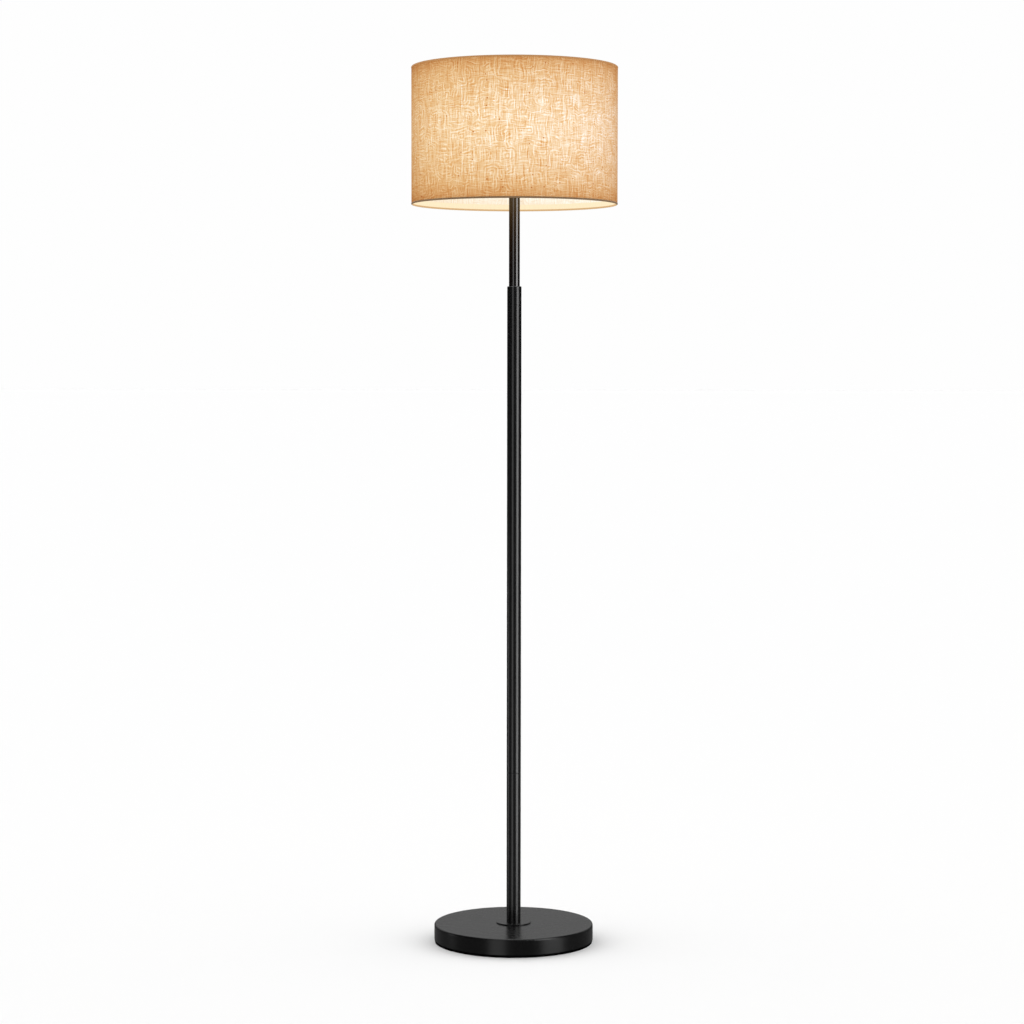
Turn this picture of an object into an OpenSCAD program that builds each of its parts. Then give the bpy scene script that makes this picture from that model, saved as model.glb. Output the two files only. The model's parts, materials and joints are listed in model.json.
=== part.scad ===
// Telescopic floor lamp with a drum shade: a weighted round base, a two-piece
// outer pole, an inner pole that slides in it, a lampholder, a bulb and a linen shade.
// The origin is on the floor, on the pole's axis. +Z is up and -Y is the front.

/* [Base] */
// Diameter of the round base
base_d = 280; // [230:1:340]
// Height of the pressed steel cover
cover_h = 28; // [27:0.5:45]
// Sheet thickness of the cover
cover_wall = 1.2; // [0.8:0.1:2]
// Rounding of the cover's top edge
cover_round = 3.5; // [1.5:0.1:6]
// Thickness of the foam pad under the base
pad_h = 4.5; // [1.5:0.5:6]
// How far the pad is set in from the cover's edge
pad_inset = 1; // [0.5:0.5:8]
// Thickness of the plate that closes the base
plate_t = 1.5; // [1:0.5:3]
// Thickness of the weight above its nut well
web_t = 7; // [5:0.5:12]
// Diameter of the nut well in the weight
well_d = 56; // [48:1:90]
// Diameter of the flange at the foot of the pole
flange_d = 61; // [45:1:90]
// Thickness of that flange
flange_t = 2; // [1.5:0.25:4]
// Thickness of the large washer in the well
washer_t = 2.5; // [1.5:0.5:3]
// Thickness of the nut under the base
nut_t = 5; // [4:0.5:6]
// Number of screws that hold the closing plate
plate_screws_n = 3; // [3:1:6]

/* [Pole] */
// Outside diameter of the outer pole
outer_d = 25; // [24:0.5:30]
// Wall of the outer pole
outer_wall = 1.2; // [0.8:0.1:1.3]
// Outside diameter of the inner pole
inner_d = 19; // [17:0.5:19.5]
// Wall of the inner pole
inner_wall = 1; // [0.8:0.1:1.5]
// Length of the outer pole's lower section
lower_len = 264.5; // [150:0.5:400]
// Length of the outer pole's upper section
middle_len = 850; // [700:1:950]
// Bevel at the ends of the outer tubes
tube_bevel = 0.6; // [0.3:0.1:1]
// Height of the collar on top of the outer pole
collar_h = 5; // [3:0.5:12]
// Bevel round the collar's top edge
collar_bevel = 1; // [0.5:0.1:2]
// Length of the slotted screw joint between the outer sections
joint_len = 20; // [14:1:40]
// How far the inner pole can rise
travel_up = 150; // [60:1:180]
// How far the inner pole can sink
travel_down = 187; // [100:1:220]
// Length of the nylon bush that guides the inner pole
bush_len = 100; // [40:1:160]
// Length of the glide below the inner pole
glide_len = 22; // [16:1:40]
// Height of the split friction ring on the glide
friction_ring_h = 6; // [3:0.5:8]

/* [Lock] */
// Length of the brass sleeve that holds the lock screw
sleeve_len = 20; // [12:1:40]
// Diameter of the lock screw
lock_d = 5; // [4:0.5:6]
// Width across the flats of its hexagon socket
lock_key = 2.5; // [1.5:0.5:2.5]
// Thickness of the pad between the lock screw and the inner pole
lock_pad_t = 0.9; // [0.6:0.1:1.2]

/* [Lead] */
// Diameter of the two-core lead inside the lamp
lead_d = 5; // [4:0.1:5.2]
// Turns of the lead that coil inside the outer pole
coil_turns = 24; // [10:1:24]

/* [Lampholder] */
// Outside diameter of the lampholder
holder_d = 40; // [38:0.5:46]
// Wall of the lampholder's two shells
holder_wall = 2; // [1.2:0.1:2.5]
// Height of the lampholder's lower shell
holder_cap_h = 22; // [20:0.5:30]
// Height of the lampholder's upper shell
holder_body_h = 38; // [37:0.5:44]
// Outside diameter of the two rings that clamp the shade
clamp_ring_d = 53; // [50:1:56]
// Height of the ring under the shade's fitter
lower_ring_h = 5; // [3:0.5:7]
// Height of the ring above the shade's fitter
upper_ring_h = 6; // [3:0.5:8]

/* [Bulb] */
// Largest diameter of the bulb
bulb_d = 60; // [50:1:64]
// Length of the bulb from its contact to its top
bulb_len = 110; // [104:1:120]
// Wall of the bulb's plastic shells
bulb_wall = 1.2; // [0.8:0.1:2]
// Number of light-emitting chips on the bulb's board
chips_n = 10; // [6:1:16]

/* [Shade] */
// Outside diameter of the shade
shade_d = 360; // [300:1:420]
// Height of the shade
shade_h = 238.5; // [180:0.5:300]
// How far the shade's lower edge hangs below the lampholder
shade_drop = 46.5; // [30:0.5:60]
// Thickness of the linen
linen_t = 0.5; // [0.3:0.1:1]
// Thickness of the plastic film behind the linen
liner_t = 0.45; // [0.2:0.05:1]
// Thickness of the edging tape
edging_t = 0.4; // [0.3:0.1:0.6]
// How far the edging is turned over inside the shade
turn_in = 12; // [8:1:20]
// Width of the overlap where the linen is joined at the back
lap_w = 12; // [6:1:20]
// Diameter of the wire in the shade's rings
wire_d = 2.2; // [2:0.1:4]
// Diameter of the spokes of the shade's carrier
spoke_d = 3.5; // [2.5:0.5:4]
// Number of spokes
spokes_n = 3; // [3:1:4]
// Thickness of the fitter ring that sits on the lampholder
fitter_t = 1.5; // [1:0.25:2.5]

/* [Hidden] */
$fn = 96;

// Clearances
cut = 1;             // how far a cutting shape runs past the face it cuts
press_gap = 0.05;    // between parts that are pressed or glued together
thread_gap = 0.05;   // between a plain male thread and its plain female thread
slide_gap = 0.1;     // between parts that slide in each other
hole_gap = 0.2;      // between a bolt and a plain hole
stop_gap = 1;        // left open at each end of the inner pole's travel

// Radii
base_r = base_d / 2;
outer_r = outer_d / 2;
bore_r = outer_r - outer_wall;
inner_r = inner_d / 2;
inner_bore_r = inner_r - inner_wall;
plug_r = bore_r - press_gap;
guide_r = inner_r + slide_gap;
nipple_r = 5;
nipple_bore_r = 3.6;
lead_r = lead_d / 2;
holder_r = holder_d / 2;
shade_r = shade_d / 2;
bulb_r = bulb_d / 2;

// Heights of the base, from the floor up
plate_z = pad_h;
weight_z = plate_z + plate_t;
cover_top = pad_h + cover_h;
weight_top = cover_top - cover_wall;
well_roof = weight_top - web_t;
spring_washer_t = 1.2;
nut_z = well_roof - washer_t - spring_washer_t - nut_t;
nipple_end = 0.6;    // how far the threaded tube stands out of its nut
pole_z = cover_top + flange_t;
channel_gap = 0.3;   // under the lead where it lies on the closing plate
channel_z = weight_z + channel_gap + lead_r;
lead_bend = 2 * lead_d;
channel_w = 12;
foot_plug_len = 20;
nipple_grip = 16;    // length of a threaded tube inside its plug

// The cord's outlet at the back of the base
gland_bore_r = lead_r + slide_gap;
gland_r = gland_bore_r + 1.3;
gland_flange_r = gland_r + 1.3;
gland_flange_t = 2;
gland_barb_t = 1.5;
gland_tail = 10;     // length of the gland inside the cover's skirt

// Screws that hold the closing plate
plate_screw_r = 1.75;
plate_screw_len = 14;
plate_screw_head_r = 3.4;
plate_screw_ring_r = 0.7 * base_r;

// Heights of the pole
joint_z = pole_z + lower_len;
middle_top = joint_z + middle_len;
collar_top = middle_top + collar_h;
collar_spigot = 5;
sleeve_top = middle_top - collar_spigot - 2;
lock_z = sleeve_top - sleeve_len / 2;
lock_x = guide_r + lock_pad_t + press_gap;   // inner end of the lock screw
bush_top = sleeve_top - sleeve_len - 2;
bush_z = bush_top - bush_len;
glide_top = bush_z - travel_up - stop_gap;
glide_z = glide_top - glide_len;
glide_spigot = 16;
groove_r = bore_r - 2.2;
holder_z = collar_top + travel_down + stop_gap;
joint_thread_r = 8;
joint_stub = 16;
joint_bore_r = 4.5;
coil_z = joint_z + joint_len + 6;
coil_top = glide_z;
coil_r = bore_r - lead_r - 0.8;

// The lampholder, from its underside up
holder_floor = 4;
core_z = holder_z + holder_cap_h + 2;
core_top = holder_z + holder_cap_h + holder_body_h - 3;
core_floor = 10;
shell_t = 0.4;
shell_r = 14.2;
terminal_h = 8;
terminal_x = 8;
lower_ring_z = holder_z + holder_cap_h + 6;
fitter_z = lower_ring_z + lower_ring_h;
upper_ring_z = fitter_z + fitter_t + press_gap;
head_plug_len = 16;

// The bulb, from its contact up
bulb_z = core_z + core_floor + 3;
contact_h = 1.6;
glass_h = 3.4;
cap_z = bulb_z + contact_h + glass_h;
cap_h = 20;
cap_r = 13.2;
neck_r = 13.8;
dome_z = bulb_z + bulb_len - bulb_r;
dome_tilt = 35;      // below the dome's middle, where the cone of the body meets it
seam_z = dome_z - bulb_r * sin(dome_tilt);
seam_r = bulb_r * cos(dome_tilt);
cone_z = seam_z - (seam_r - neck_r) / tan(dome_tilt);

// The shade
shade_z = holder_z - shade_drop;
shade_top = shade_z + shade_h;
wire_r = wire_d / 2;
fold_r = wire_r + press_gap + edging_t;
wire_ring_r = shade_r - fold_r;
spoke_r = spoke_d / 2;
clamp_ring_r = clamp_ring_d / 2;
fitter_r = clamp_ring_r + 5;
wall_inset = 2 * fold_r + press_gap;     // from the shade's edge to the linen's
linen_r = shade_r - edging_t - press_gap;
liner_r = linen_r - linen_t - press_gap;
tuck_r = liner_r - liner_t - press_gap;  // outside of the edging's edge in the shade

// A straight tube
module tube(r, bore, h) {
    difference() {
        cylinder(r = r, h = h);
        translate([0, 0, -cut]) cylinder(r = bore, h = h + 2 * cut);
    }
}

// A tube with bevelled outer edges
module bevelled_tube(r, bore, h, low, high) {
    rotate_extrude()
        polygon([
            [bore, 0], [r - low, 0], [r, low], [r, h - high], [r - high, h], [bore, h]
        ]);
}

// Half the outline of a disc with one rounded corner, to be turned about the axis
module rounded_corner(r, h, corner) {
    square([r - corner, h]);
    square([r, h - corner]);
    translate([r - corner, h - corner]) circle(r = corner);
}

// A tube whose outside carries plain rings in place of a thread
module ringed_tube(r, depth, pitch, bore, h) {
    turns = floor(h / pitch);
    rotate_extrude()
        polygon(concat(
            [[bore, 0], [r - depth, 0]],
            [for (i = [0:turns - 1], k = [0:1])
                [k == 0 ? r - depth : r, (i + 0.25 + 0.5 * k) * pitch]],
            [[r - depth, turns * pitch], [r - depth, h], [bore, h]]
        ));
}

module turned(angle) {
    rotate([0, 0, angle]) children();
}

module ring_of(n, r) {
    for (i = [0:n - 1]) turned(i * 360 / n) translate([r, 0, 0]) children();
}

// Base

// Foam pad, notched where the cord's outlet reaches below the cover
module floor_pad() {
    notch_w = 2 * (gland_flange_r + slide_gap);
    notch_y = base_r - cover_wall - slide_gap - gland_barb_t - slide_gap;
    color("dimgray")
    difference() {
        tube(base_r - pad_inset, well_d / 2 - 6, pad_h);
        translate([-notch_w / 2, notch_y, -cut])
            cube([notch_w, base_r - notch_y, pad_h + 2 * cut]);
    }
}

module bottom_plate() {
    plate_r = base_r - cover_wall - slide_gap;
    color("dimgray")
    difference() {
        translate([0, 0, plate_z]) tube(plate_r, well_d / 2 - 3, plate_t);
        ring_of(plate_screws_n, plate_screw_ring_r) {
            translate([0, 0, plate_z - cut])
                cylinder(r = plate_screw_r + hole_gap, h = plate_t + 2 * cut);
            translate([0, 0, plate_z - press_gap])
                cylinder(
                    r1 = plate_screw_head_r + press_gap,
                    r2 = plate_screw_r + press_gap,
                    h = plate_t
                );
        }
        translate([-channel_w / 2, base_r - gland_tail - 6, plate_z - cut])
            cube([channel_w, gland_tail + 10, plate_t + 2 * cut]);
    }
}

module plate_screws() {
    color("silver")
    ring_of(plate_screws_n, plate_screw_ring_r)
    difference() {
        union() {
            translate([0, 0, plate_z])
                cylinder(r1 = plate_screw_head_r, r2 = plate_screw_r, h = plate_t - press_gap);
            translate([0, 0, plate_z])
                cylinder(r = plate_screw_r, h = plate_screw_len);
        }
        for (turn = [0, 90])
            rotate([0, 0, turn])
            translate([-2, -0.4, plate_z - cut])
                cube([4, 0.8, cut + 1]);
    }
}

module base_weight() {
    weight_r = base_r - cover_wall - slide_gap;
    inner_corner = max(cover_round - cover_wall, 0.2);
    color("slategray")
    difference() {
        translate([0, 0, weight_z])
        rotate_extrude()
            rounded_corner(weight_r, weight_top - weight_z, inner_corner + slide_gap);
        translate([0, 0, weight_z - cut])
            cylinder(r = well_d / 2, h = well_roof - weight_z + cut);
        translate([0, 0, weight_z])
            cylinder(r = nipple_r + hole_gap, h = weight_top);
        translate([-channel_w / 2, 0, weight_z - cut])
            cube([channel_w, base_r, channel_z + gland_flange_r + slide_gap - weight_z + cut]);
        ring_of(plate_screws_n, plate_screw_ring_r)
            translate([0, 0, weight_z - cut])
            cylinder(r = plate_screw_r + thread_gap, h = plate_screw_len + cut);
    }
}

module base_cover() {
    inner_corner = max(cover_round - cover_wall, 0.2);
    color("#1c1c1d")
    difference() {
        translate([0, 0, pad_h])
        rotate_extrude()
        difference() {
            rounded_corner(base_r, cover_h, cover_round);
            translate([0, -cut])
                rounded_corner(base_r - cover_wall, cover_h - cover_wall + cut, inner_corner);
        }
        translate([0, 0, pad_h]) cylinder(r = nipple_r + hole_gap, h = cover_h + cut);
        translate([0, base_r - cover_wall - 4, channel_z]) {
            rotate([-90, 0, 0]) cylinder(r = gland_r + press_gap, h = cover_wall + 8);
            translate([-gland_r - press_gap, 0, -channel_z])
                cube([2 * (gland_r + press_gap), cover_wall + 8, channel_z]);
        }
    }
}

module foot_flange() {
    edge = 0.6;
    color("#1c1c1d")
    translate([0, 0, cover_top])
    difference() {
        rotate_extrude() rounded_corner(flange_d / 2, flange_t, edge);
        translate([0, 0, -cut]) cylinder(r = nipple_r + hole_gap, h = flange_t + 2 * cut);
    }
}

module base_washer() {
    color("silver")
    translate([0, 0, well_roof - washer_t])
        tube(well_d / 2 - 6, nipple_r + hole_gap, washer_t);
}

// Split spring washer
module spring_washer() {
    split = 1.5;
    color("silver")
    translate([0, 0, nut_z + nut_t])
    difference() {
        tube(9, nipple_r + hole_gap, spring_washer_t);
        translate([0, -split / 2, -cut]) cube([12, split, spring_washer_t + 2 * cut]);
    }
}

module base_nut() {
    across_flats = 17;
    color("silver")
    translate([0, 0, nut_z])
    difference() {
        cylinder(r = across_flats / 2 / cos(30), h = nut_t, $fn = 6);
        translate([0, 0, -cut]) cylinder(r = nipple_r + thread_gap, h = nut_t + 2 * cut);
    }
}

// Hollow threaded tube that bolts the pole through the base
module base_nipple() {
    color("silver")
    translate([0, 0, nut_z - nipple_end])
        tube(nipple_r, nipple_bore_r, pole_z + nipple_grip - nut_z + nipple_end);
}

// Outlet of the mains cord, pushed up into a slot in the skirt
module cord_gland() {
    skirt_y = base_r - cover_wall - slide_gap;
    color("#141414")
    translate([0, 0, channel_z])
    rotate([-90, 0, 0])
    difference() {
        union() {
            translate([0, 0, base_r - gland_tail])
                cylinder(r = gland_r, h = gland_tail + gland_flange_t);
            translate([0, 0, base_r + slide_gap])
                cylinder(r = gland_flange_r, h = gland_flange_t);
            translate([0, 0, skirt_y - gland_barb_t])
                cylinder(r = gland_flange_r, h = gland_barb_t - slide_gap);
        }
        translate([0, 0, base_r - gland_tail - cut])
            cylinder(r = gland_bore_r, h = gland_tail + gland_flange_t + 3 * cut);
    }
}

// The lead from the gland, up through the nipple to the screw joint
module base_lead() {
    color("#d8d4cc") {
        translate([0, lead_bend, channel_z])
        rotate([-90, 0, 0])
            cylinder(r = lead_r, h = base_r - gland_tail - lead_bend - press_gap);
        translate([0, lead_bend, channel_z + lead_bend])
        rotate([0, 90, 0])
        rotate([0, 0, -90])
        rotate_extrude(angle = 90)
            translate([lead_bend, 0]) circle(r = lead_r);
        translate([0, 0, channel_z + lead_bend])
            cylinder(r = lead_r, h = coil_z - channel_z - lead_bend);
    }
}

// Outer pole

module pole_foot() {
    color("silver")
    translate([0, 0, pole_z]) tube(plug_r, nipple_r + thread_gap, foot_plug_len);
}

module lower_pole() {
    color("#1c1c1d")
    translate([0, 0, pole_z]) bevelled_tube(outer_r, bore_r, lower_len, 0, tube_bevel);
}

// Threaded socket pressed into the top of the lower section
module pole_socket() {
    socket_floor = 6;
    depth = joint_stub + 2;
    color("silver")
    translate([0, 0, joint_z - depth - socket_floor])
    difference() {
        cylinder(r = plug_r, h = depth + socket_floor);
        translate([0, 0, -cut]) cylinder(r = joint_bore_r, h = depth + socket_floor + 2 * cut);
        translate([0, 0, socket_floor])
            cylinder(r = joint_thread_r + thread_gap, h = depth + cut);
    }
}

// Threaded stud pressed into the foot of the upper section
module pole_stud() {
    color("silver")
    difference() {
        union() {
            translate([0, 0, joint_z]) cylinder(r = plug_r, h = joint_len);
            translate([0, 0, joint_z - joint_stub])
                cylinder(r = joint_thread_r, h = joint_stub + cut);
        }
        translate([0, 0, joint_z - joint_stub - cut])
            cylinder(r = joint_bore_r, h = joint_stub + joint_len + 2 * cut);
    }
}

module middle_pole() {
    color("#1c1c1d")
    difference() {
        translate([0, 0, joint_z])
            bevelled_tube(outer_r, bore_r, middle_len, tube_bevel, 0);
        translate([0, 0, lock_z])
        rotate([0, 90, 0])
            cylinder(r = lock_d / 2 + thread_gap, h = outer_d);
    }
}

module pole_collar() {
    low_bevel = 0.2;
    color("#1c1c1d")
    translate([0, 0, middle_top])
    rotate_extrude()
        polygon([
            [guide_r, -collar_spigot], [plug_r, -collar_spigot], [plug_r, 0],
            [outer_r - low_bevel, 0], [outer_r, low_bevel],
            [outer_r, collar_h - collar_bevel], [outer_r - collar_bevel, collar_h],
            [guide_r, collar_h]
        ]);
}

// Brass sleeve that carries the lock screw's thread
module clamp_sleeve() {
    color("goldenrod")
    difference() {
        translate([0, 0, sleeve_top - sleeve_len]) tube(plug_r, guide_r, sleeve_len);
        translate([0, 0, lock_z])
        rotate([0, 90, 0])
            cylinder(r = lock_d / 2 + thread_gap, h = outer_d);
    }
}

module guide_bush() {
    color("whitesmoke") translate([0, 0, bush_z]) tube(plug_r, guide_r, bush_len);
}

// Pad that the lock screw presses on the inner pole
module lock_pad() {
    color("goldenrod")
    difference() {
        translate([inner_r - 1, 0, lock_z])
        rotate([0, 90, 0])
            cylinder(r = lock_d / 2 - slide_gap, h = lock_x - press_gap - inner_r + 1);
        translate([0, 0, lock_z - lock_d]) cylinder(r = guide_r, h = 2 * lock_d);
    }
}

// Headless lock screw, flush with the pole when it is tight
module lock_screw() {
    reach = outer_r - lock_x - press_gap;
    socket_depth = 0.6 * reach;
    color("#303030")
    translate([lock_x, 0, lock_z])
    rotate([0, 90, 0])
    difference() {
        cylinder(r = lock_d / 2, h = reach);
        translate([0, 0, reach - socket_depth])
            cylinder(r = lock_key / 2 / cos(30), h = socket_depth + cut, $fn = 6);
    }
}

// The lead's coil inside the outer pole, which takes up the inner pole's travel
coil_sides = 6;
coil_steps = 8;                    // rings in one turn
coil_straight = 1.2 * lead_d;      // straight length at each end
coil_ramp = 0.75;                  // turns in which the coil widens
coil_pitch = (coil_top - coil_z - 2 * coil_straight) / coil_turns;

function unit(v) = v / norm(v);
function smooth(x) = let (t = min(max(x, 0), 1)) t * t * (3 - 2 * t);
function coil_radius(turn) =
    coil_r * smooth(turn / coil_ramp) * smooth((coil_turns - turn) / coil_ramp);
function outward(turn) = [cos(360 * turn), sin(360 * turn), 0];
// The middle of the lead at a turn count; below 0 and above the last turn it runs straight
function coil_point(turn) =
    coil_radius(turn) * outward(turn)
    + [0, 0, coil_z + coil_straight + coil_pitch * turn];
function coil_course(turn) =
    unit(coil_point(turn + 0.5 / coil_steps) - coil_point(turn - 0.5 / coil_steps));
// One ring of the lead, square to its course
function coil_ring(turn) =
    let (
        along = coil_course(turn),
        side = unit(outward(turn) - (outward(turn) * along) * along),
        up = cross(along, side)
    )
    [for (k = [0:coil_sides - 1])
        coil_point(turn)
        + lead_r * (cos(360 * k / coil_sides) * side + sin(360 * k / coil_sides) * up)];
// A ring at one of the lead's two straight ends
function end_ring(z) =
    [for (k = [0:coil_sides - 1])
        [lead_r * cos(360 * k / coil_sides), lead_r * sin(360 * k / coil_sides), z]];

module coiled_lead() {
    n = coil_sides;
    points = [
        each end_ring(coil_z),
        for (i = [0:coil_turns * coil_steps]) each coil_ring(i / coil_steps),
        each end_ring(coil_top)
    ];
    last = len(points) - n;
    sides = [for (start = [0:n:last - n], k = [0:n - 1])
        each let (a = start + k, b = start + (k + 1) % n)
        [[a, a + n, b], [b, a + n, b + n]]];
    caps = [for (k = [1:n - 2]) each [[0, k, k + 1], [last, last + k + 1, last + k]]];
    color("#d8d4cc") polyhedron(points, concat(sides, caps));
}

// Inner pole

// Split ring that rubs in the outer pole and stays at its height on the glide
module friction_ring() {
    split = 3;
    color("whitesmoke")
    translate([0, 0, glide_z + glide_len / 2 - friction_ring_h / 2 + slide_gap])
    difference() {
        tube(bore_r - press_gap, groove_r + press_gap, friction_ring_h - 2 * slide_gap);
        translate([0, -split / 2, -cut]) cube([outer_r, split, friction_ring_h + 2 * cut]);
    }
}
module inner_glide() {
    color("whitesmoke")
    difference() {
        union() {
            translate([0, 0, glide_z]) cylinder(r = bore_r - slide_gap, h = glide_len);
            translate([0, 0, glide_z])
                cylinder(r = inner_bore_r - press_gap, h = glide_len + glide_spigot);
        }
        translate([0, 0, glide_z + glide_len / 2 - friction_ring_h / 2])
            tube(bore_r, groove_r, friction_ring_h);
        translate([0, 0, glide_z - cut])
            cylinder(r = lead_r + slide_gap, h = glide_len + glide_spigot + 2 * cut);
        rivet_holes(press_gap);
    }
}

// Two blind rivets hold the inner pole on the glide's spigot
rivet_r = 1.6;
module rivet_holes(gap) {
    for (turn = [0, 180])
        turned(turn)
        translate([lead_r + 1.5 - gap, 0, glide_top + glide_spigot / 2])
        rotate([0, 90, 0])
            cylinder(r = rivet_r + gap, h = inner_r - lead_r);
}

module glide_rivets() {
    color("silver")
    intersection() {
        rivet_holes(0);
        translate([0, 0, glide_top]) cylinder(r = inner_r - press_gap, h = glide_spigot);
    }
}

module inner_pole() {
    color("#1f1f20")
    difference() {
        translate([0, 0, glide_top]) tube(inner_r, inner_bore_r, holder_z - glide_top);
        rivet_holes(press_gap);
    }
}

module head_plug() {
    color("silver")
    translate([0, 0, holder_z - head_plug_len])
        tube(inner_bore_r - press_gap, nipple_r + thread_gap, head_plug_len);
}

// The lead from the glide up to the lampholder
module upper_lead() {
    color("#d8d4cc")
    translate([0, 0, coil_top])
        cylinder(r = lead_r, h = holder_z + holder_floor + 6 - coil_top);
}

// Two insulated cores from the end of the lead to the terminals
module lead_cores() {
    core_r = 1.1;
    start_z = holder_z + holder_floor + 6 + core_r;
    rise = core_z - terminal_h + 1 - start_z;
    spread = terminal_x - 2.6 - core_r;
    color("saddlebrown")
    for (side = [-1, 1])
        translate([side * (core_r + 0.1), 0, start_z])
        rotate([0, side * atan(spread / rise), 0])
            cylinder(r = core_r, h = norm([rise, spread]) - core_r);
}

// Lampholder

module holder_nipple() {
    color("silver")
    translate([0, 0, holder_z - head_plug_len + 2])
        tube(nipple_r, nipple_bore_r, head_plug_len + holder_floor + 1);
}

module holder_cap() {
    corner = 8;
    color("#151515")
    translate([0, 0, holder_z + holder_cap_h])
    mirror([0, 0, 1])
    difference() {
        rotate_extrude()
        difference() {
            rounded_corner(holder_r, holder_cap_h, corner);
            translate([0, -cut])
                rounded_corner(
                    holder_r - holder_wall,
                    holder_cap_h - holder_floor + cut,
                    corner - holder_wall
                );
        }
        translate([0, 0, -cut])
            cylinder(r = nipple_r + thread_gap, h = holder_cap_h + 2 * cut);
    }
}

module holder_body() {
    collar = 4;
    pitch = 2.5;
    color("#151515")
    translate([0, 0, holder_z + holder_cap_h]) {
        tube(holder_r, holder_r - holder_wall, collar + 0.5);
        translate([0, 0, collar])
            ringed_tube(
                holder_r - 0.1, 0.6, pitch, holder_r - holder_wall, holder_body_h - collar
            );
    }
}

// Insulating core that carries the contacts
module holder_core() {
    color("ivory")
    difference() {
        translate([0, 0, core_z])
            cylinder(r = holder_r - holder_wall - slide_gap, h = core_top - core_z);
        translate([0, 0, core_z + core_floor])
            cylinder(r = shell_r + press_gap, h = core_top);
        for (side = [-1, 1])
            translate([side * terminal_x, 0, core_z - cut])
                cylinder(r = 1.5 + hole_gap, h = core_floor - 1 + cut);
    }
}

module screw_shell() {
    color("gold")
    translate([0, 0, core_z + core_floor + 1])
        tube(shell_r, shell_r - shell_t, core_top - core_z - core_floor - 2);
}

// Springy tongue under the bulb's centre contact
module centre_contact() {
    w = 5;
    t = 0.6;
    reach = 9;
    lift = bulb_z - core_z - core_floor - t - 0.4;
    color("gold")
    translate([0, w / 2, core_z + core_floor])
    rotate([90, 0, 0])
    linear_extrude(w)
        polygon([
            [-reach, 0], [4 - reach, 0], [0, lift], [2, lift], [2, lift + t], [0, lift + t],
            [4 - reach, t], [-reach, t]
        ]);
}

module terminal_blocks() {
    color("gold")
    for (side = [-1, 1])
        difference() {
            translate([side * terminal_x - 2.5, -3.5, core_z - terminal_h])
                cube([5, 7, terminal_h]);
            translate([side * terminal_x, 0, core_z - 5])
                cylinder(r = 1.5 + thread_gap, h = 5 + cut);
            translate([side * terminal_x, -4, core_z - terminal_h / 2 - 1])
            rotate([-90, 0, 0])
                cylinder(r = 1.25 + thread_gap, h = 4);
        }
}

// Screws through the terminals into the core, and the screws that clamp the cores
module terminal_screws() {
    color("silver")
    for (side = [-1, 1]) {
        translate([side * terminal_x, 0, core_z - 5 + press_gap])
            cylinder(r = 1.5, h = 12);
        translate([side * terminal_x, -5.5, core_z - terminal_h / 2 - 1])
        rotate([-90, 0, 0]) {
            cylinder(r = 1.25, h = 5);
            cylinder(r = 2, h = 1.8);
        }
    }
}

// Rings that screw on the lampholder and clamp the shade's fitter between them
module clamp_ring(h) {
    grips = 16;
    notch_r = 1.6;
    difference() {
        bevelled_tube(clamp_ring_r, holder_r + thread_gap, h, 0.6, 0.6);
        ring_of(grips, clamp_ring_r + notch_r / 2)
            translate([0, 0, -cut]) cylinder(r = notch_r, h = h + 2 * cut);
    }
}

module lower_clamp_ring() {
    color("#151515") translate([0, 0, lower_ring_z]) clamp_ring(lower_ring_h);
}

module upper_clamp_ring() {
    color("#151515") translate([0, 0, upper_ring_z]) clamp_ring(upper_ring_h);
}

// Bulb

module bulb_contact() {
    color("silver")
    translate([0, 0, bulb_z]) cylinder(r = 4.5, h = contact_h);
    color("#101010")
    translate([0, 0, bulb_z + contact_h]) cylinder(r1 = 6.5, r2 = 11.5, h = glass_h);
}

module bulb_cap() {
    color("silver")
    translate([0, 0, cap_z])
        ringed_tube(cap_r, 0.5, 3.6, cap_r - 1.2, cap_h);
}

module bulb_body() {
    neck_z = cap_z + cap_h;
    color("white")
    rotate_extrude()
        polygon([
            [neck_r - bulb_wall, neck_z], [neck_r, neck_z], [neck_r, cone_z],
            [seam_r, seam_z], [seam_r - bulb_wall, seam_z], [neck_r - bulb_wall, cone_z]
        ]);
}

// Upright circuit board in the bulb's neck
module driver_board() {
    w = 18;
    t = 1.6;
    low = cap_z + 4;
    color("darkgreen")
    translate([-w / 2, -t / 2, low]) cube([w, t, cone_z - low]);
}

board_t = 1.6;
board_z = seam_z - board_t - 2;
module led_board() {
    r = seam_r - bulb_wall - (seam_z - board_z) * tan(dome_tilt) - slide_gap;
    color("white") translate([0, 0, board_z]) cylinder(r = r, h = board_t);
}

module led_chips() {
    size = 2.8;
    ring_r = 0.55 * seam_r;
    color("khaki")
    ring_of(chips_n, ring_r)
        translate([-size / 2, -size / 2, board_z + board_t]) cube([size, size, 0.7]);
}

module bulb_dome() {
    color("oldlace")
    difference() {
        translate([0, 0, dome_z]) sphere(r = bulb_r);
        translate([0, 0, dome_z]) sphere(r = bulb_r - bulb_wall);
        translate([0, 0, seam_z - bulb_d]) cylinder(r = bulb_d, h = bulb_d);
    }
}

// Shade

module wire_ring(z) {
    translate([0, 0, z]) rotate_extrude() translate([wire_ring_r, 0]) circle(r = wire_r);
}

// Ring clamped between the two rings of the lampholder
module fitter_ring() {
    color("white")
    translate([0, 0, fitter_z]) tube(fitter_r, holder_r + hole_gap, fitter_t);
}

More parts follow.
